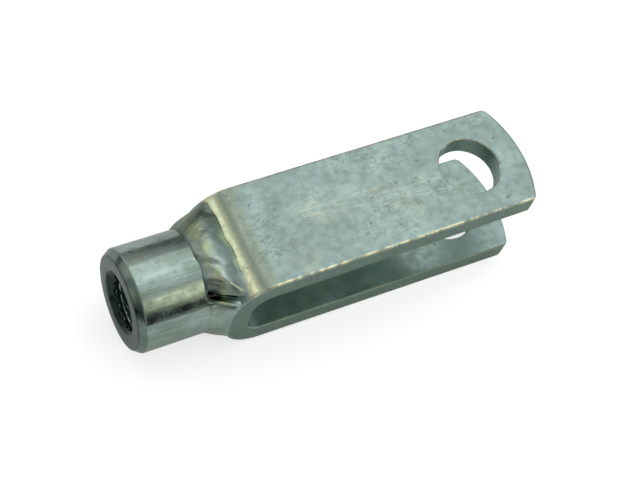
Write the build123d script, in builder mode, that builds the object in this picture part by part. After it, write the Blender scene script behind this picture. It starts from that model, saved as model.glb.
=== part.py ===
"""Welded clevis rod end: a folded strip yoke with a threaded boss welded on its web.

Millimetres. X runs along the rod axis from the threaded mouth (-X) to the ear tips (+X),
Y runs across the strip and Z runs along the pin. The origin is where the pin axis crosses
the rod axis, midway between the ears.
"""

from build123d import *
from math import radians, sqrt, tan
import os

# ------------------------------------------------------------ driving dimensions: yoke

strip_width = 22.0
strip_thickness = 4.5
outside_edge_rounding = 0.6  # rolled over by the blanking press
inside_edge_break = 0.25  # burr knocked off

gap_at_web = 11.6
ear_splay = 1.0  # degrees that each ear opens outwards from parallel
bend_inner_radius = 3.6
pin_axis_to_web = 50.2  # pin axis to the inner face of the web

pin_hole_diameter = 12.3
pin_hole_edge_break = 0.2
ear_reach = 12.0  # pin axis to the crown of the ear's end
ear_end_radius = 25.0
ear_corner_radius = 1.5

# ------------------------------------------------------------ driving dimensions: boss

boss_diameter = 20.0
boss_length = 17.1
boss_chamfer_length = 1.4
boss_chamfer_depth = 1.0

thread_minor_diameter = 10.2  # tapping size of an M12 x 1.75 thread
countersink_diameter = 12.6

# ----------------------------------------------------------- driving dimensions: welds

bead_leg_on_boss = 3.9
bead_leg_on_bend = 3.9
bead_root_depth = 0.15  # the bead's ends are buried this far, so its toes run out clean
bead_side_inset = 0.1  # the bead stops this far inside the strip's edges
bead_root_radius = 6.5  # the filler runs this close to the rod axis, clear of the bore
bead_shoulder_radius = 8.0  # rounding of the bead's section at the boss seat
bead_toe_corner_radius = 1.0  # rounding of its section at the toe on the bend
bead_swell_length = 1.3  # the bead swells this fast from its toe on the boss
bead_swell_share = 0.8  # and reaches this share of its crown there

upper_bead_crown = 1.0  # how far the bead stands over the boss
lower_bead_crown = 0.5

# Heights over the rod axis where the two runs stop. They meet on the far side (+Y). On the
# near side (-Y) they stop short of each other and leave a crater in the groove.
bead_meeting_height = 2.0
upper_bead_stop_height = 7.7
lower_bead_stop_height = 6.2
upper_bead_stop_slope = 0.24  # rise of the upper run's end towards the strip's edge

# --------------------------------------------------------------------- derived sizes

web_inner_x = -pin_axis_to_web
boss_seat_x = web_inner_x - strip_thickness
boss_mouth_x = boss_seat_x - boss_length
boss_radius = boss_diameter / 2
minor_radius = thread_minor_diameter / 2
countersink_radius = countersink_diameter / 2

ear_slope = tan(radians(ear_splay))
blank_overrun = ear_corner_radius
fold_end_x = ear_reach + blank_overrun
half_gap_at_fold_end = gap_at_web / 2 + (fold_end_x - web_inner_x) * ear_slope
half_gap_at_pin = gap_at_web / 2 - web_inner_x * ear_slope
half_gap_at_tip = half_gap_at_pin + ear_reach * ear_slope
upper_ear_inside = Plane.XY.offset(half_gap_at_pin).rotated((0, -ear_splay, 0))
lower_ear_inside = Plane.XY.offset(-half_gap_at_pin).rotated((0, ear_splay, 0))

side_y = strip_width / 2
shoulder_x = ear_reach - ear_end_radius + sqrt(ear_end_radius**2 - side_y**2)

bend_outer_radius = bend_inner_radius + strip_thickness
bend_centre_x = web_inner_x + bend_inner_radius
bend_centre_height = gap_at_web / 2 - bend_inner_radius

boss_toe_x = boss_seat_x - bead_leg_on_boss
bend_toe_x = boss_seat_x + bead_leg_on_bend
bend_toe_height = bend_centre_height + sqrt(bend_outer_radius**2 - (bend_centre_x - bend_toe_x) ** 2)
bead_width = strip_width - 2 * bead_side_inset

clear_of_bead = strip_width
upper_stop_y = -sqrt(boss_radius**2 - upper_bead_stop_height**2)
lower_stop_y = -sqrt(boss_radius**2 - lower_bead_stop_height**2)
upper_stop_edge_height = upper_bead_stop_height + (clear_of_bead + upper_stop_y) * upper_bead_stop_slope

# ------------------------------------------------------------------------------- yoke
# One length of flat strip, rounded at both ends, folded into a U round a square former.
# The fold springs back a little, so the ears open towards their tips.

with BuildSketch() as ear_outline:
    with BuildLine():
        Polyline((shoulder_x, side_y), (0, side_y), (0, -side_y), (shoulder_x, -side_y))
        ThreePointArc((shoulder_x, -side_y), (ear_reach, 0), (shoulder_x, side_y))
    make_face()
    fillet(ear_outline.vertices().group_by(Axis.X)[-1], radius=ear_corner_radius)

with BuildSketch() as cropped_off:
    with Locations((fold_end_x, 0)):
        Rectangle(2 * fold_end_x, 2 * strip_width)
    add(ear_outline.sketch, mode=Mode.SUBTRACT)

with BuildPart() as yoke:
    with BuildSketch(Plane.XZ):
        with BuildLine():
            FilletPolyline(
                (fold_end_x, half_gap_at_fold_end),
                (web_inner_x, gap_at_web / 2),
                (web_inner_x, -gap_at_web / 2),
                (fold_end_x, -half_gap_at_fold_end),
                radius=bend_inner_radius,
            )
            offset(amount=strip_thickness, side=Side.RIGHT)
        make_face()
    extrude(amount=side_y, both=True)

    for ear_inside in (upper_ear_inside, lower_ear_inside):
        with BuildSketch(ear_inside):
            add(cropped_off.sketch)
        extrude(amount=half_gap_at_pin, both=True, mode=Mode.SUBTRACT)

    across_strip = yoke.edges().filter_by(Axis.Y)
    for ear_inside in (upper_ear_inside, lower_ear_inside):
        across_strip += yoke.edges().filter_by(Axis(ear_inside.origin, ear_inside.z_dir))
    strip_edges = yoke.edges() - across_strip
    inside_edges = strip_edges.filter_by_position(Axis.X, web_inner_x, ear_reach).filter_by_position(
        Axis.Z, -half_gap_at_tip, half_gap_at_tip
    )
    outside_edges = strip_edges - inside_edges
    fillet(outside_edges, radius=outside_edge_rounding)
    chamfer(inside_edges, length=inside_edge_break)

    Hole(pin_hole_diameter / 2)
    pin_hole_walls = yoke.faces().filter_by(GeomType.CYLINDER).filter_by(
        lambda face: abs(face.radius - pin_hole_diameter / 2) < 1e-6
    )
    pin_hole_rims = pin_hole_walls.edges().filter_by(GeomType.LINE, reverse=True)
    chamfer(pin_hole_rims, length=pin_hole_edge_break)

# ----------------------------------------------------------------------- threaded boss
# Turned from round bar, drilled, countersunk and tapped, then set square on the web.

with BuildPart() as threaded_boss:
    with BuildSketch(Plane.XZ):
        with BuildLine():
            Polyline(
                (boss_mouth_x, countersink_radius),
                (boss_mouth_x, boss_radius - boss_chamfer_depth),
                (boss_mouth_x + boss_chamfer_length, boss_radius),
                (boss_seat_x, boss_radius),
                (boss_seat_x, minor_radius),
                (boss_mouth_x + countersink_radius - minor_radius, minor_radius),
                close=True,
            )
        make_face()
    revolve(axis=Axis.X)

# --------------------------------------------------------------------------- weld beads
# Two runs of filler in the grooves between the round boss and the bends of the yoke.
# Each starts as a ring on the boss and spreads to the full width of the strip.


def weld_bead(crown, region):
    """Bead filling the part of the groove inside region, a polygon of (Y, height) corners."""
    with BuildPart() as bead:
        with BuildSketch(Plane.YZ.offset(boss_toe_x)):
            Circle(boss_radius - bead_root_depth)
        with BuildSketch(Plane.YZ.offset(boss_toe_x + bead_swell_length)):
            Circle(boss_radius + bead_swell_share * crown)
        with BuildSketch(Plane.YZ.offset(boss_seat_x)):
            RectangleRounded(bead_width, 2 * (boss_radius + crown), bead_shoulder_radius)
        with BuildSketch(Plane.YZ.offset(bend_toe_x)):
            RectangleRounded(bead_width, 2 * (bend_toe_height - bead_root_depth), bead_toe_corner_radius)
        loft()
        with BuildSketch(Plane.YZ.offset(boss_toe_x)):
            with BuildLine():
                Polyline(*region, close=True)
            make_face()
            Rectangle(bead_width, 2 * clear_of_bead, mode=Mode.INTERSECT)
            Circle(bead_root_radius, mode=Mode.SUBTRACT)
        extrude(amount=bend_toe_x - boss_toe_x, mode=Mode.INTERSECT)
        add(threaded_boss.part, mode=Mode.SUBTRACT)
        add(yoke.part, mode=Mode.SUBTRACT)
    return bead.part


upper_weld = weld_bead(
    upper_bead_crown,
    [
        (clear_of_bead, bead_meeting_height),
        (0, bead_meeting_height),
        (upper_stop_y, upper_bead_stop_height),
        (-clear_of_bead, upper_stop_edge_height),
        (-clear_of_bead, clear_of_bead),
        (clear_of_bead, clear_of_bead),
    ],
)
lower_weld = weld_bead(
    lower_bead_crown,
    [
        (clear_of_bead, bead_meeting_height),
        (0, bead_meeting_height),
        (lower_stop_y, lower_bead_stop_height),
        (-clear_of_bead, lower_bead_stop_height),
        (-clear_of_bead, -clear_of_bead),
        (clear_of_bead, -clear_of_bead),
    ],
)

# ------------------------------------------------------------------------------ export

os.makedirs("parts", exist_ok=True)
pieces = {
    "yoke": yoke.part,
    "threaded_boss": threaded_boss.part,
    "upper_weld": upper_weld,
    "lower_weld": lower_weld,
}
for name, piece in pieces.items():
    piece.label = name
    export_step(piece, f"parts/{name}.step")
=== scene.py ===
import math

import bpy
import numpy as np
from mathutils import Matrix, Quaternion, Vector, noise


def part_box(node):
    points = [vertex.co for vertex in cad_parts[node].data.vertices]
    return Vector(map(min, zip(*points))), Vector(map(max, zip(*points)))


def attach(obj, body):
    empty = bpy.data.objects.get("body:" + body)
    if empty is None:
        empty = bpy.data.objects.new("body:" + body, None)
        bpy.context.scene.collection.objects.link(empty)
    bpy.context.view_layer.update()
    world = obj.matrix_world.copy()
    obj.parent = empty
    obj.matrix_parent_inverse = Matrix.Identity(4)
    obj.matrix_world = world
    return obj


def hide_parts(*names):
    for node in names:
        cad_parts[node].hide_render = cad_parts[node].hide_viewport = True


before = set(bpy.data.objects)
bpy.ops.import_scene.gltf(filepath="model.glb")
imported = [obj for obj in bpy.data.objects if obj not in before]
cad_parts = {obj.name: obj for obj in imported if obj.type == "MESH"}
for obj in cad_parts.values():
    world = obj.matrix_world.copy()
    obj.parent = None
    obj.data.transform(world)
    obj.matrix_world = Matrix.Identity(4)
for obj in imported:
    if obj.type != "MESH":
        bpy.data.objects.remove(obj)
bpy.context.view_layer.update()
MM = 0.001

# ------------------------------------------------------------------------------- Yoke
# The fork of the rod end: one length of hot-rolled steel strip, cropped, drilled and folded
# into a U. The whole part is zinc plated after welding, with a clear blue-green passivation.


def linear(hex_colour):
    """sRGB hex to the linear RGBA that Blender's sockets take."""
    channels = [int(hex_colour[i : i + 2], 16) / 255 for i in (1, 3, 5)]
    return [c / 12.92 if c <= 0.04045 else ((c + 0.055) / 1.055) ** 2.4 for c in channels] + [1.0]


def node(tree, kind, inputs=(), **settings):
    """Adds a node. inputs lists its sockets in order, or maps them by name or number, to a
    value or to the node or output that feeds each."""
    made = tree.nodes.new("ShaderNode" + kind)
    for name, value in settings.items():
        setattr(made, name, value)
    for socket, value in inputs.items() if isinstance(inputs, dict) else enumerate(inputs):
        if isinstance(value, bpy.types.Node):
            value = value.outputs[0]
        if isinstance(value, bpy.types.NodeSocket):
            tree.links.new(value, made.inputs[socket])
        else:
            made.inputs[socket].default_value = value
    return made


def millimetres(tree, stretch=(1, 1, 1)):
    """The surface point in millimetres, squeezed along each axis by stretch."""
    place = node(tree, "TexCoord").outputs["Object"]
    return node(tree, "VectorMath", [place, [s / MM for s in stretch]], operation="MULTIPLY")


# settings of a Map Range that goes smoothly from its low to its high value
smooth = {"interpolation_type": "SMOOTHSTEP"}


def zinc_plate(name, clean, dull, warm, shine):
    """Bright zinc on steel: a grey-green metal with cloudy patches and yellowish interference
    tints. Returns the material, its roughness, its fine patches and its list of marks, which a
    section adds its own to: where each is, how strong, and its colour."""
    material = bpy.data.materials.new(name)
    material.use_nodes = True
    tree = material.node_tree
    place = millimetres(tree)
    cloud_width, patch_width, tint_width = 9.0, 1.7, 6.25
    cloud_sockets = {"Vector": place, "Scale": 1 / cloud_width, "Detail": 3, "Roughness": 0.55}
    patch_sockets = {"Vector": place, "Scale": 1 / patch_width, "Detail": 6, "Roughness": 0.62}
    along_grain = millimetres(tree, (0.7, 1.3, 1.3))
    tint_sockets = {"Vector": along_grain, "Scale": 1 / tint_width, "Distortion": 0.6}
    cloud = node(tree, "TexNoise", cloud_sockets)
    patch = node(tree, "TexNoise", patch_sockets)
    tint = node(tree, "TexNoise", tint_sockets)
    rough = node(tree, "MapRange", [patch, 0.3, 0.7, shine - 0.07, shine + 0.12], **smooth)
    marks = [
        (node(tree, "MapRange", [cloud, 0.35, 0.65], **smooth), 1.0, clean),
        (node(tree, "MapRange", [patch, 0.45, 0.7], **smooth), 0.6, dull),
        (node(tree, "MapRange", [tint, 0.55, 0.75], **smooth), 0.45, warm),
    ]
    return material, rough, patch, marks


def finish_plate(material, base, marks, rough, heights, depth):
    """Lays the marks over the base colour in turn, and bumps the metal by the sum of its
    heights, each with its own gain. depth is in millimetres."""
    tree = material.node_tree
    shader = tree.nodes["Principled BSDF"]
    shader.inputs["Metallic"].default_value = 1.0
    tone = linear(base)
    for where, strength, colour in marks:
        share = node(tree, "Math", [where, strength], operation="MULTIPLY")
        tone = node(tree, "Mix", {0: share, 6: tone, 7: linear(colour)}, data_type="RGBA").outputs[2]
    height = 0.0
    for field, gain in heights:
        height = node(tree, "Math", [field, gain, height], operation="MULTIPLY_ADD")
    bump = node(tree, "Bump", {"Height": height, "Distance": depth * MM, "Strength": 0.6})
    tree.links.new(tone, shader.inputs["Base Color"])
    tree.links.new(rough.outputs[0], shader.inputs["Roughness"])
    tree.links.new(bump.outputs[0], shader.inputs["Normal"])


# Hot-rolled strip: the plating is thin enough to show mill lines along the strip, scuffs from
# tumbling in the plating barrel, and a duller cropped edge, which is also darkened as painted
# shade. The rounded outside edges carry a painted highlight over their rubbed plating. The
# outside of the bend has a painted highlight, with a painted olive shade above it. Widths and
# spacings are in millimetres.
strip_clean = "#b1c9c2"
strip_dull = "#a0b5af"
strip_warm = "#b9c4a4"
strip_edge_dull_and_shade = "#869e92"
strip_rub_and_highlight = "#f8fde2"
strip_fleck = "#d3e2de"
strip_scar = "#6c7b74"
strip_rubbed = "#dadfc4"
bend_olive_shade = "#a3b099"
bend_highlight = "#e0e8c4"
strip_shine = 0.36
strip_relief_depth = 0.03
mill_line_spacing = 0.45
scuff_spacing = 2.6
scuff_area_width = 8.3
pit_spacing = 2.2
pit_raggedness = 0.625
fleck_width = 0.7
fleck_area_width = 9.1
waviness_width = 6.25
bend_olive_ends_x, bend_olive_full_x = -45.0, -47.5
bend_bright_ends_x, bend_bright_full_x = -48.8, -50.2
die_rubbed_ends_x, die_rubbed_full_x = -47.0, -49.0
outer_face_height = 9.0

plated_strip, rough, patch, marks = zinc_plate(
    "zinc_plated_hot_rolled_strip", strip_clean, strip_dull, strip_warm, strip_shine
)
tree = plated_strip.node_tree
place = millimetres(tree)
along, across, upward = node(tree, "SeparateXYZ", [place]).outputs
facing = node(tree, "SeparateXYZ", [node(tree, "NewGeometry").outputs["Normal"]]).outputs
side_on = node(tree, "Math", [facing[1]], operation="ABSOLUTE")
flat_on = node(tree, "Math", [facing[2]], operation="ABSOLUTE")
off_axis = node(tree, "Math", [upward], operation="ABSOLUTE")
outside_of_fork = node(tree, "MapRange", [off_axis, outer_face_height - 1, outer_face_height], **smooth)

rolled = millimetres(tree, (0.05, 1, 1))
mill_lines = node(
    tree, "TexNoise", {"Vector": rolled, "Scale": 1 / mill_line_spacing, "Detail": 3, "Roughness": 0.6}
)
mill_line_tone = node(tree, "MapRange", [mill_lines, 0.42, 0.68], **smooth)
waviness = node(tree, "TexNoise", {"Vector": place, "Scale": 1 / waviness_width, "Roughness": 0.45})

# scuffs: thin lines where a noise crosses its middle value, in a few areas only
scuff_area = node(tree, "TexNoise", {"Vector": place, "Scale": 1 / scuff_area_width, "Roughness": 0.55})
scuff_area = node(tree, "MapRange", [scuff_area, 0.48, 0.6], **smooth)
scuff_sockets = {
    "Vector": millimetres(tree, (0.6, 1.2, 1.2)),
    "Scale": 1 / scuff_spacing,
    "Detail": 4,
    "Roughness": 0.7,
    "Distortion": 0.4,
}
scuffs = node(tree, "Math", [node(tree, "TexNoise", scuff_sockets), 0.5], operation="SUBTRACT")
scuffs = node(tree, "Math", [scuffs], operation="ABSOLUTE")
scuffs = node(tree, "MapRange", [scuffs, 0.022, 0.004, 0.0, scuff_area], **smooth)

# pits: ragged spots in about a quarter of the cells
ragged = node(tree, "TexNoise", {"Vector": place, "Scale": 1 / pit_raggedness, "Detail": 3}).outputs[1]
ragged = node(tree, "VectorMath", [ragged, place], operation="ADD")
pit_cells = node(tree, "TexVoronoi", {"Vector": ragged, "Scale": 1 / pit_spacing})
pit_chance = node(tree, "SeparateColor", [pit_cells.outputs["Color"]])
pit_chance = node(tree, "MapRange", [pit_chance, 0.72, 0.78], **smooth)
pits = node(tree, "MapRange", [pit_cells.outputs["Distance"], 0.17, 0.05, 0.0, pit_chance], **smooth)

# flecks of thicker plating
fleck_area = node(tree, "TexNoise", {"Vector": place, "Scale": 1 / fleck_area_width, "Roughness": 0.55})
fleck_area = node(tree, "MapRange", [fleck_area, 0.44, 0.62], **smooth)
fleck_sockets = {
    "Vector": millimetres(tree, (0.8, 1.3, 1.3)),
    "Scale": 1 / fleck_width,
    "Detail": 5,
    "Roughness": 0.7,
    "Distortion": 0.9,
}
flecks = node(tree, "TexNoise", fleck_sockets)
flecks = node(tree, "MapRange", [flecks, 0.54, 0.68, 0.0, fleck_area], **smooth)

# a track of fine scratches along the middle of the upper ear
track_slope = 0.08
track_offset = -1.5
track_starts_x, track_ends_x = -40.0, -7.0
track_starts_over, track_ends_over = 5.0, 4.0
track_half_width, track_core_half_width = 3.2, 0.8
scratch_spacing = 0.45
track = node(tree, "Math", [along, track_slope, across], operation="MULTIPLY_ADD")
track = node(tree, "Math", [track, track_offset], operation="SUBTRACT")
track = node(tree, "Math", [track], operation="ABSOLUTE")
track = node(tree, "MapRange", [track, track_half_width, track_core_half_width], **smooth)
track = node(tree, "MapRange", [upward, outer_face_height, outer_face_height + 1, 0.0, track], **smooth)
track_full_x = track_starts_x + track_starts_over
track = node(tree, "MapRange", [along, track_starts_x, track_full_x, 0.0, track], **smooth)
track_fades_x = track_ends_x - track_ends_over
track = node(tree, "MapRange", [along, track_ends_x, track_fades_x, 0.0, track], **smooth)
scratch_sockets = {
    "Vector": millimetres(tree, (0.12, 1, 1)),
    "Scale": 1 / scratch_spacing,
    "Detail": 4,
    "Roughness": 0.7,
    "Distortion": 0.3,
}
scratches = node(tree, "TexNoise", scratch_sockets)
scratches = node(tree, "MapRange", [scratches, 0.5, 0.62, 0.0, track], **smooth)

# the sheared sides, duller and darkened by painted shade, and the rounded outside edges between
# them and the flats, rubbed shiny and lit by a painted highlight
cropped_edge_and_shade = node(tree, "MapRange", [side_on, 0.9, 0.99], **smooth)
rubbed_edge_and_highlight = node(tree, "MapRange", [patch, 0.62, 0.42, 0.15, 1.0], **smooth)
rubbed_edge_and_highlight = node(tree, "MapRange", [side_on, 0.06, 0.3, 0.0, rubbed_edge_and_highlight], **smooth)
rubbed_edge_and_highlight = node(tree, "MapRange", [side_on, 0.98, 0.85, 0.0, rubbed_edge_and_highlight], **smooth)
rubbed_edge_and_highlight = node(tree, "MapRange", [flat_on, 0.05, 0.2, 0.0, rubbed_edge_and_highlight], **smooth)
rubbed_edge_and_highlight = node(tree, "Math", [rubbed_edge_and_highlight, outside_of_fork], operation="MULTIPLY")

# the bend's painted highlight and painted olive shade end in an uneven line
wander = node(tree, "Math", [patch, 0.5], operation="SUBTRACT")
bend_x = node(tree, "Math", [wander, 2.0, along], operation="MULTIPLY_ADD")
bend_shade = node(
    tree, "MapRange", [bend_x, bend_olive_ends_x, bend_olive_full_x, 0.0, outside_of_fork], **smooth
)
bend_highlight_mask = node(
    tree, "MapRange", [bend_x, bend_bright_ends_x, bend_bright_full_x, 0.0, outside_of_fork], **smooth
)
die_rubbed = node(
    tree, "MapRange", [bend_x, die_rubbed_ends_x, die_rubbed_full_x, 0.0, outside_of_fork], **smooth
)

for where, change in ((cropped_edge_and_shade, 0.1), (die_rubbed, -0.16), (rubbed_edge_and_highlight, -0.14)):
    rough = node(tree, "Math", [where, change, rough], operation="MULTIPLY_ADD")
marks += [
    (mill_line_tone, 0.5, strip_dull),
    (flecks, 0.6, strip_fleck),
    (scratches, 0.55, strip_rubbed),
    (bend_shade, 0.7, bend_olive_shade),
    (bend_highlight_mask, 0.9, bend_highlight),
    (cropped_edge_and_shade, 1.0, strip_edge_dull_and_shade),
    (rubbed_edge_and_highlight, 1.0, strip_rub_and_highlight),
    (scuffs, 0.4, strip_scar),
    (pits, 0.7, strip_scar),
]
heights = [(mill_lines, 0.35), (waviness, 1.6), (patch, 0.55), (scuffs, -0.5), (pits, -1.2)]
finish_plate(plated_strip, strip_dull, marks, rough, heights, strip_relief_depth)

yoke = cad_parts["yoke"]
yoke.data.materials.clear()
yoke.data.materials.append(plated_strip)

# ---------------------------------------------------------------------- Threaded boss
# A short length of round bar, turned, faced, chamfered, drilled and tapped M12. It is welded
# square onto the back of the yoke.
boss_low, boss_high = (np.array(corner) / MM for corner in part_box("threaded_boss"))
boss_mouth_x, boss_seat_x = boss_low[0], boss_high[0]
boss_radius = boss_high[2]
boss_chamfer_length = 1.4
boss_chamfer_depth = 1.0
turned_corner_radius = 0.12
countersink_radius = 6.3
thread_minor_radius = 5.1
thread_major_radius = 6.0
thread_pitch = 1.75
thread_crest_width = thread_pitch / 4
thread_root_width = thread_pitch / 8
turns_round_boss = 192
thread_step = 0.125


def thread_radius(x, angle):
    """Wall of a right-handed internal thread, x along the bore and angle round it."""
    along = (x / thread_pitch - angle / (2 * math.pi)) % 1.0 * thread_pitch
    from_crest = abs(along - thread_pitch / 2)
    flank = (thread_pitch - thread_crest_width - thread_root_width) / 2
    share = (thread_pitch / 2 - thread_root_width / 2 - from_crest) / flank
    share = 1 - min(max(share, 0.0), 1.0)
    return thread_minor_radius + (thread_major_radius - thread_minor_radius) * share


def rounded_corner(before, corner, after, radius, steps=4):
    """Points of a small round at corner, in the plane of (x, radius)."""
    before, corner, after = (np.array(p, float) for p in (before, corner, after))
    into = (before - corner) / np.linalg.norm(before - corner)
    out = (after - corner) / np.linalg.norm(after - corner)
    start, end = corner + into * radius, corner + out * radius
    shares = np.linspace(0, 1, steps)
    return [(1 - t) ** 2 * start + 2 * t * (1 - t) * corner + t**2 * end for t in shares]


def skin(name, rings, closed_round, smooth_below):
    """A mesh through rings of points in millimetres. Each ring is a closed loop. The rings join
    up round the piece if closed_round, and otherwise the first and last are capped."""
    rings = np.array(rings)
    ring_count, ring_size = rings.shape[:2]
    faces = []
    for i in range(ring_count if closed_round else ring_count - 1):
        a, b = i * ring_size, (i + 1) % ring_count * ring_size
        for j in range(ring_size):
            k = (j + 1) % ring_size
            faces.append((a + j, a + k, b + k, b + j))
    if not closed_round:
        last = (ring_count - 1) * ring_size
        faces.append(tuple(range(ring_size - 1, -1, -1)))
        faces.append(tuple(last + j for j in range(ring_size)))
    mesh = bpy.data.meshes.new(name)
    mesh.from_pydata((rings.reshape(-1, 3) * MM).tolist(), [], faces)
    mesh.update()
    mesh.shade_smooth()
    mesh.set_sharp_from_angle(angle=math.radians(smooth_below))
    made = bpy.data.objects.new(name, mesh)
    bpy.context.scene.collection.objects.link(made)
    return made


chamfer_start = (boss_mouth_x, boss_radius - boss_chamfer_depth)
chamfer_end = (boss_mouth_x + boss_chamfer_length, boss_radius)
seat_corner = (boss_seat_x, boss_radius)
mouth_inner = (boss_mouth_x, countersink_radius)
countersink_inner = (boss_mouth_x + 1, countersink_radius - 1)
outside = (
    rounded_corner(countersink_inner, mouth_inner, chamfer_start, turned_corner_radius)
    + rounded_corner(mouth_inner, chamfer_start, chamfer_end, turned_corner_radius)
    + rounded_corner(chamfer_start, chamfer_end, seat_corner, turned_corner_radius * 2)
    + [np.array(seat_corner)]
)
# the arc undercut the bar where the upper weld run broke off
undercut_x, undercut_angle = boss_seat_x - 2.4, math.radians(136)
undercut_length, undercut_width, undercut_depth = 1.0, math.radians(6), 0.9
weld_end_length, weld_end_step = 6.0, 0.25
weld_end_stations = np.arange(boss_seat_x - weld_end_length, boss_seat_x, weld_end_step)
outside[-1:-1] = [np.array((x, boss_radius)) for x in weld_end_stations]
bore_stations = np.arange(boss_seat_x, boss_mouth_x + turned_corner_radius, -thread_step)
boss_rings = []
for step in range(turns_round_boss):
    angle = 2 * math.pi * step / turns_round_boss
    ring = []
    for x in bore_stations:
        countersink_here = countersink_radius - (x - boss_mouth_x)
        ring.append((x, max(thread_radius(x, angle), countersink_here)))
    for x, r in outside:
        along_undercut = (x - undercut_x) / undercut_length
        round_undercut = (angle - undercut_angle) / undercut_width
        ring.append((x, r - undercut_depth * math.exp(-(along_undercut**2) - round_undercut**2)))
    boss_rings.append([(x, r * math.cos(angle), r * math.sin(angle)) for x, r in ring])
boss = skin("turned_threaded_boss", boss_rings, True, 24)

# Bright-drawn bar: streaks along its outside, turned rings on the mouth and chamfer, and a warm
# tint. The faced mouth, the chamfer and the countersink are darkened as painted shade, and the
# bore is lightened as a painted lift of light. A lathe's feed lines are about 0.1 mm apart, and
# are drawn coarser here so that they show.
bar_clean = "#adc2bb"
bar_dull = "#8fa598"
bar_warm = "#c0bf96"
bar_faced_shade = "#4e5d55"
bar_drawn_bright = "#cbdad6"
countersink_shade = "#3a4640"
bore_light_lift = "#97a89f"
slag_and_shadow_dark = "#2c2f28"
bar_shine = 0.18
bar_relief_depth = 0.025
feed_line_spacing = 0.35
drawn_line_width = 0.5
# the dark crater spot is partly slag and partly painted shadow
slag_and_shadow_centre = (
    undercut_x,
    boss_radius * math.cos(undercut_angle),
    boss_radius * math.sin(undercut_angle),
)
slag_and_shadow_radius, slag_and_shadow_core_radius = 1.9, 1.1


def slag_and_shadow_spot(tree, place):
    """Where the arc broke off: slag kept the plating out, and a painted shadow under the upper run's
    overhanging lip darkens the crater.
    """
    away = node(tree, "VectorMath", [place, slag_and_shadow_centre], operation="DISTANCE").outputs["Value"]
    return node(tree, "MapRange", [away, slag_and_shadow_radius, slag_and_shadow_core_radius], **smooth)


plated_bar, rough, patch, marks = zinc_plate(
    "zinc_plated_turned_bar", bar_clean, bar_dull, bar_warm, bar_shine
)
tree = plated_bar.node_tree
place = millimetres(tree)
along = node(tree, "SeparateXYZ", [place])
off_axis = node(tree, "VectorMath", [place, (0, 1, 1)], operation="MULTIPLY")
from_axis = node(tree, "VectorMath", [off_axis], operation="LENGTH").outputs["Value"]

feed_count = node(tree, "Math", [along, feed_line_spacing], operation="DIVIDE")
feed_place = node(tree, "CombineXYZ", [feed_count, from_axis])
feed_lines = node(tree, "TexNoise", {"Vector": feed_place, "Scale": 1.0, "Detail": 3, "Roughness": 0.65})
feed_line_tone = node(tree, "MapRange", [feed_lines, 0.4, 0.75], **smooth)
drawn = millimetres(tree, (0.07, 1, 1))
drawn_lines = node(
    tree, "TexNoise", {"Vector": drawn, "Scale": 1 / drawn_line_width, "Detail": 4, "Roughness": 0.65}
)
drawn_skin = node(tree, "MapRange", [from_axis, boss_radius - 0.2, boss_radius - 0.05], **smooth)
streaks = node(tree, "MapRange", [drawn_lines, 0.45, 0.7, 0.0, drawn_skin], **smooth)

# painted shade: the faced mouth and the chamfer are darkened
faced_end_shade = node(tree, "MapRange", [along, boss_mouth_x + 0.3, boss_mouth_x + 0.05], **smooth)
chamfer_end_x = boss_mouth_x + boss_chamfer_length
turned_chamfer_shade = node(tree, "MapRange", [along, chamfer_end_x + 0.1, chamfer_end_x - 0.05], **smooth)
# painted shade in the countersink, and a painted lift of light over the whole bore
in_bore = node(tree, "MapRange", [from_axis, countersink_radius + 0.1, countersink_radius - 0.2], **smooth)
countersink_end_x = boss_mouth_x + countersink_radius - thread_minor_radius
countersunk_shade = node(
    tree, "MapRange", [along, countersink_end_x + 0.1, countersink_end_x - 0.2, 0.0, in_bore], **smooth
)

marks += [
    (feed_line_tone, 0.35, bar_dull),
    (streaks, 0.6, bar_drawn_bright),
    (faced_end_shade, 0.85, bar_faced_shade),
    (turned_chamfer_shade, 0.5, bar_faced_shade),
    (in_bore, 1.0, bore_light_lift),
    (countersunk_shade, 1.0, countersink_shade),
    (slag_and_shadow_spot(tree, place), 0.9, slag_and_shadow_dark),
]
heights = [(feed_lines, 0.3), (patch, 0.5), (drawn_lines, 0.7)]
finish_plate(plated_bar, bar_dull, marks, rough, heights, bar_relief_depth)

boss.data.materials.append(plated_bar)
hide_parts("threaded_boss")
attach(boss, "root")

# ------------------------------------------------------------------------- Weld beads
# Two runs of MIG filler in the grooves between the round boss and the square bends. They were
# laid by hand, so the ripples are uneven, and on the near side the runs leave a crater.
yoke_low, yoke_high = (np.array(corner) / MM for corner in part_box("yoke"))
strip_side_y = yoke_high[1]
strip_thickness = 4.5
half_gap_at_web = 5.8
bend_inner_radius = 3.6
bend_outer_radius = bend_inner_radius + strip_thickness
bend_centre_x = boss_seat_x + bend_outer_radius
bend_centre_height = half_gap_at_web - bend_inner_radius
bead_leg_on_boss = 3.9
bead_leg_on_bend = 3.9
bead_half_width = strip_side_y - 0.1
bead_root_radius = 6.5
bead_swell_length = 1.3
bead_swell_share = 0.8
bead_shoulder_radius = 8.0
bead_toe_corner_radius = 1.0
# how deep the bead's toes, its hidden under side and its nose are sunk in the boss and the yoke
bead_sunk_depth = 0.15
under_bend_toe, under_boss_toe, under_boss_edge = 0.6, 0.5, 0.35
sunk_in_web, sunk_in_boss_end = 0.12, 0.1
nose_sunk_in_boss, nose_sunk_in_bend = 0.3, 1.2
# how many degrees back from its end a run slants, and rounds off
slant_reach, nose_reach = 26, 2.4
points_across_bead = 44
bead_step_angle = 0.6
ripple_spacing = 1.5


def bend_surface_x(height):
    """Where the outside of the web and bend stands at a height over the rod axis."""
    over = max(abs(height) - bend_centre_height, 0.0)
    return bend_centre_x - math.sqrt(max(bend_outer_radius**2 - over**2, 0.0))


def bend_surface_height(x):
    return bend_centre_height + math.sqrt(bend_outer_radius**2 - (bend_centre_x - x) ** 2)


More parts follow.
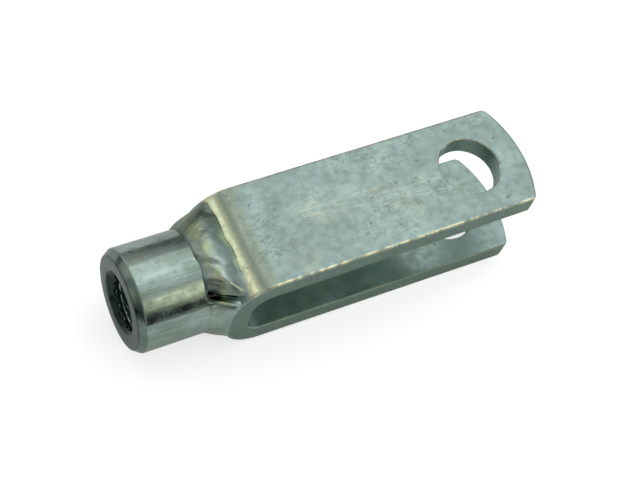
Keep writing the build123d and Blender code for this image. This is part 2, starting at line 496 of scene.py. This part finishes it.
def rounded_box_radius(angle, half_width, half_height, corner):
    """Distance from the centre of a rounded rectangle to its outline, in the direction of angle."""
    c, s = abs(math.cos(angle)), abs(math.sin(angle))
    to_side = half_width / c if c > 1e-9 else 1e9
    if to_side * s <= half_height - corner:
        return to_side
    to_top = half_height / s
    if to_top * c <= half_width - corner:
        return to_top
    along = c * (half_width - corner) + s * (half_height - corner)
    gap = (half_width - corner) ** 2 + (half_height - corner) ** 2 - corner**2
    return along + math.sqrt(max(along**2 - gap, 0.0))


def bead_section(angles, crown, leg_on_boss, leg_on_bend):
    """The bead's outline as x and radius, from its toe on the boss to its toe on the bend. Each
    point has its own angle, because the ends of a run lie slanted."""
    toe_height = bend_surface_height(boss_seat_x + leg_on_bend) - bead_sunk_depth
    boss_toe_x = boss_seat_x - leg_on_boss
    xs = np.array([boss_toe_x, boss_toe_x + bead_swell_length, boss_seat_x, boss_seat_x + leg_on_bend])
    along = np.linspace(xs[0], xs[-1], points_across_bead)
    radii = []
    for x, angle in zip(along, angles):
        rs = (
            boss_radius - bead_sunk_depth,
            boss_radius + bead_swell_share * crown,
            rounded_box_radius(angle, bead_half_width, boss_radius + crown, bead_shoulder_radius),
            rounded_box_radius(angle, bead_half_width, toe_height, bead_toe_corner_radius),
        )
        # a smooth curve through the four stations, with its slopes from their neighbours
        slopes = np.gradient(rs, xs)
        k = min(max(int(np.searchsorted(xs, x, side="right")) - 1, 0), 2)
        span = xs[k + 1] - xs[k]
        t = (x - xs[k]) / span
        radii.append(
            (2 * t**3 - 3 * t**2 + 1) * rs[k]
            + (t**3 - 2 * t**2 + t) * span * slopes[k]
            + (3 * t**2 - 2 * t**3) * rs[k + 1]
            + (t**3 - t**2) * span * slopes[k + 1]
        )
    return along, np.array(radii)


def ripple(distance, sharpness=1.6):
    """A train of weld ripples: each rises slowly and drops off at its front edge."""
    phase = distance % 1.0
    return (phase**sharpness) * (1 - max(phase - 0.8, 0.0) / 0.2)


def ease(value, low, high):
    share = min(max((value - low) / (high - low), 0.0), 1.0)
    return share * share * (3 - 2 * share)


def weld_bead(name, crown, start, end, ripple_height, folds, slant_near, slant, lean):
    """A run of filler from angle start to end, in degrees from +Y towards +Z. Its end on the
    near side, at slant_near, lies slanted across the groove and leans over the crater."""
    share = np.linspace(0, 1, points_across_bead)
    middle = np.sin(np.pi * share) ** 0.7
    rings = []
    for degrees in np.arange(start, end + bead_step_angle / 2, bead_step_angle):
        near = 1 - ease(abs(degrees - slant_near), 0, slant_reach)
        angles = np.radians(degrees + near * slant * share)
        arc = math.radians(degrees) * (boss_radius + crown)
        leg_on_boss = bead_leg_on_boss + 0.5 * noise.noise(Vector((arc * 0.22, 3.1, crown)))
        leg_on_bend = bead_leg_on_bend + 0.25 * noise.noise(Vector((arc * 0.3, 7.7, crown)))
        along, radii = bead_section(angles, crown, leg_on_boss, leg_on_bend)
        for j in range(points_across_bead):
            lag = 1.6 * (share[j] - 0.5) ** 2
            beat = arc / ripple_spacing + lag + 0.5 * noise.noise(Vector((arc * 0.5, share[j] * 3, 1.3)))
            rise = ripple_height * ripple(beat)
            rise += 0.3 * noise.noise(Vector((arc * 0.35, share[j] * 1.7, 5.0)))
            rise += 0.035 * noise.noise(Vector((arc * 1.1, share[j] * 6, 9.0)))
            for fold_at, fold_width, fold_rise, fold_skew in folds:
                off = (degrees - fold_at - fold_skew * (share[j] - 0.5)) / fold_width
                rise += fold_rise * math.exp(-(off**2))
            radii[j] += middle[j] * rise
        # the filler stops in a rounded nose that leans over the crater
        nose = 1 - ease(abs(degrees - slant_near), 0, nose_reach)
        nose_sunk = np.where(along < boss_seat_x, nose_sunk_in_boss, nose_sunk_in_bend)
        radii = radii - (radii - (boss_radius - nose_sunk)) * nose**3
        overhang = np.clip((radii - boss_radius) / crown, 0, 1) * lean * near**4
        angles = angles + np.radians(overhang)
        bend_x = bend_surface_x(bead_root_radius * math.sin(angles[-1])) + sunk_in_web
        under_x = boss_seat_x - sunk_in_boss_end
        under = [
            (along[-1], radii[-1] - under_bend_toe, angles[-1]),
            (bend_x, bead_root_radius, angles[-1]),
            (under_x, bead_root_radius, angles[points_across_bead // 2]),
            (under_x, boss_radius - under_boss_edge, angles[points_across_bead // 2]),
            (along[0], boss_radius - under_boss_toe, angles[0]),
        ]
        points = []
        for x, r, angle in list(zip(along, radii, angles)) + under:
            y, z = r * math.cos(angle), r * math.sin(angle)
            points.append((x, min(max(y, -bead_half_width), bead_half_width), z))
        rings.append(points)
    return skin(name, rings, False, 50)


# folds: where, how wide, how high and how slanted each larger wave in the filler is
upper_weld = weld_bead(
    "upper_weld_bead",
    crown=0.9,
    start=11.5,
    end=129.5,
    ripple_height=0.035,
    folds=[(60, 2.2, 0.3, -12), (68, 4.0, -0.12, -12), (110, 4.0, -0.3, 24), (120, 3.5, 0.4, 10)],
    slant_near=129.5,
    slant=12,
    lean=3.5,
)
lower_weld = weld_bead(
    "lower_weld_bead",
    crown=0.4,
    start=134.5,
    end=371.5,
    ripple_height=0.03,
    folds=[(136, 2.6, -1.0, 0), (142.5, 2.4, 0.95, 5), (148.5, 1.8, -0.5, 5)],
    slant_near=134.5,
    slant=10,
    lean=0,
)

# Steel filler under zinc: smoother than the strip, with a yellow painted highlight along the crest
# of the upper run, painted olive shade on the far side, and a dark line at each toe where plating salts
# stay.
weld_clean = "#b3c8c2"
weld_dull = "#93a79c"
weld_warm = "#bdc39a"
weld_crest_highlight = "#c3cca0"
weld_far_side_shade = "#6b7763"
weld_toe_dark = "#4c544a"
weld_shine = 0.27
weld_relief_depth = 0.07
frozen_wave_width = 1.25
crest_patch_width = 2.0
boss_toe_line_ends, boss_toe_line_full = 0.7, 0.2
bend_toe_line_starts, bend_toe_line_full = 7.0, 7.6
far_side_starts_y, far_side_full_y = 2.0, 7.0
crest_starts_height, crest_full_height = 5.0, 7.5

plated_weld, rough, patch, marks = zinc_plate(
    "zinc_plated_weld_filler", weld_clean, weld_dull, weld_warm, weld_shine
)
tree = plated_weld.node_tree
place = millimetres(tree)
along, across, upward = node(tree, "SeparateXYZ", [place]).outputs
wander = node(tree, "Math", [patch, 0.5], operation="SUBTRACT")
to_toe = node(tree, "Math", [wander, 0.8, along], operation="MULTIPLY_ADD")
to_toe = node(tree, "Math", [to_toe, boss_seat_x - bead_leg_on_boss], operation="SUBTRACT")
# to_toe is how far a point stands past the run's toe on the boss, in millimetres
boss_toe_line = node(tree, "MapRange", [to_toe, boss_toe_line_ends, boss_toe_line_full], **smooth)
bend_toe_line = node(tree, "MapRange", [to_toe, bend_toe_line_starts, bend_toe_line_full], **smooth)
# painted shade: the far side of the runs is darkened to olive
far_side_shade = node(tree, "MapRange", [across, far_side_starts_y, far_side_full_y], **smooth)
# painted highlight: a yellow band along the top of the runs
crest_highlight = node(
    tree, "TexNoise", {"Vector": place, "Scale": 1 / crest_patch_width, "Detail": 4, "Roughness": 0.55}
)
crest_highlight = node(tree, "MapRange", [crest_highlight, 0.3, 0.65], **smooth)
crest_highlight = node(tree, "MapRange", [upward, crest_starts_height, crest_full_height, 0.0, crest_highlight], **smooth)
crest_highlight = node(tree, "MapRange", [to_toe, 0.6, 2.0, 0.0, crest_highlight], **smooth)
crest_highlight = node(tree, "MapRange", [to_toe, 4.2, 2.4, 0.0, crest_highlight], **smooth)
marks += [
    (crest_highlight, 1.0, weld_crest_highlight),
    (far_side_shade, 0.7, weld_far_side_shade),
    (boss_toe_line, 0.6, weld_toe_dark),
    (bend_toe_line, 0.5, weld_toe_dark),
    (slag_and_shadow_spot(tree, place), 0.9, slag_and_shadow_dark),
]
wave_sockets = {
    "Vector": millimetres(tree, (0.6, 1, 1)),
    "Scale": 1 / frozen_wave_width,
    "Detail": 3,
    "Distortion": 0.6,
}
heights = [(node(tree, "TexNoise", wave_sockets), 1.0), (patch, 0.25)]
finish_plate(plated_weld, weld_dull, marks, rough, heights, weld_relief_depth)
for bead, cad_node in ((upper_weld, "upper_weld"), (lower_weld, "lower_weld")):
    bead.data.materials.append(plated_weld)
    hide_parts(cad_node)
    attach(bead, "root")

# ------------------------------------------------------------------- Floor, light, camera
# A flat pale card and an overhead light tent. The card looks pale to the camera but gives
# little light back to the metal, as one further off would.
floor_level = yoke_low[2] * MM
floor_half_size = 3.0
floor_mesh = bpy.data.meshes.new("pale_card")
corners = [(-1, -1), (1, -1), (1, 1), (-1, 1)]
floor_mesh.from_pydata(
    [(x * floor_half_size, y * floor_half_size, floor_level) for x, y in corners], [], [(0, 1, 2, 3)]
)
floor = bpy.data.objects.new("pale_card", floor_mesh)
bpy.context.scene.collection.objects.link(floor)
card_white = "#f4f5f4"
card_glow_on_metal = 0.08
card_glow_to_camera = 0.62
card = bpy.data.materials.new("matt_card")
card.use_nodes = True
tree = card.node_tree
tree.nodes.clear()
seen = node(tree, "LightPath").outputs["Is Camera Ray"]
card_face = node(tree, "BsdfDiffuse", {"Color": linear(card_white)})
glow_strength = node(tree, "MapRange", [seen, 0.0, 1.0, card_glow_on_metal, card_glow_to_camera])
card_glow = node(tree, "Emission", {"Strength": glow_strength})
card_lit = node(tree, "AddShader", [card_face, card_glow])
node(tree, "OutputMaterial", {"Surface": card_lit})
floor_mesh.materials.append(card)

world = bpy.data.worlds.new("light_tent")
bpy.context.scene.world = world
world.use_nodes = True
tree = world.node_tree
tree.nodes.clear()
direction = node(tree, "TexCoord").outputs["Generated"]
_, backward, upward = node(tree, "SeparateXYZ", [direction]).outputs
room = node(tree, "MapRange", [backward, -0.5, 0.6, 0.035, 0.145], **smooth)
roof = node(tree, "MapRange", [upward, 0.2, 0.8, 0.0, 0.46], **smooth)
light = node(tree, "Background", {"Strength": node(tree, "Math", [room, roof], operation="ADD")})
# each softbox: the direction it stands in, its half-width and feather in degrees, strength, colour
softboxes = [
    ((0.27, 0.40, 0.88), 7, 21, 0.5, "#ffffff"),
    ((0.39, -0.05, 0.92), 12, 14, 0.4, "#f2fbff"),
    ((0.39, -0.68, 0.62), 8, 12, 0.9, "#fff0c8"),
    ((-0.56, 0.37, 0.74), 3, 6, 0.65, "#fffdee"),
    ((0.82, 0.38, 0.42), 14, 22, 0.35, "#f2f8ff"),
    ((-0.35, -0.90, 0.30), 10, 12, 0.35, "#ffffff"),
    ((-0.95, -0.05, 0.32), 10, 12, 0.3, "#ffffff"),
    ((-0.12, 0.93, 0.35), 10, 14, 0.3, "#ffffff"),
    ((0.78, -0.58, 0.24), 10, 12, 0.45, "#ffffff"),
    ((-0.66, 0.62, 0.42), 10, 12, 0.4, "#ffffff"),
]
for toward, half_width, feather, strength, colour in softboxes:
    toward = tuple(Vector(toward).normalized())
    aligned = node(tree, "VectorMath", [direction, toward], operation="DOT_PRODUCT").outputs["Value"]
    edge, core = math.cos(math.radians(half_width + feather)), math.cos(math.radians(half_width))
    lit = node(tree, "MapRange", [aligned, edge, core, 0.0, strength], **smooth)
    softbox = node(tree, "Background", {"Color": linear(colour), "Strength": lit})
    light = node(tree, "AddShader", [light, softbox])
node(tree, "OutputWorld", {"Surface": light})

camera_place = Vector((-135.14, -101.23, 228.04)) * MM
camera_aim = Vector((-30.51, -0.32, 0.0)) * MM
camera_roll = math.radians(23.3)
camera = bpy.data.objects.new("camera", bpy.data.cameras.new("camera"))
bpy.context.scene.collection.objects.link(camera)
camera.data.sensor_width = 36.0
camera.data.lens = 79.27
camera.data.clip_start = 0.01
camera.location = camera_place
level = (camera_aim - camera_place).to_track_quat("-Z", "Y")
camera.rotation_mode = "QUATERNION"
camera.rotation_quaternion = level @ Quaternion((0, 0, 1), camera_roll)
bpy.context.scene.camera = camera

# a plain view transform, so that the card stays white
bpy.context.scene.view_settings.view_transform = "Standard"
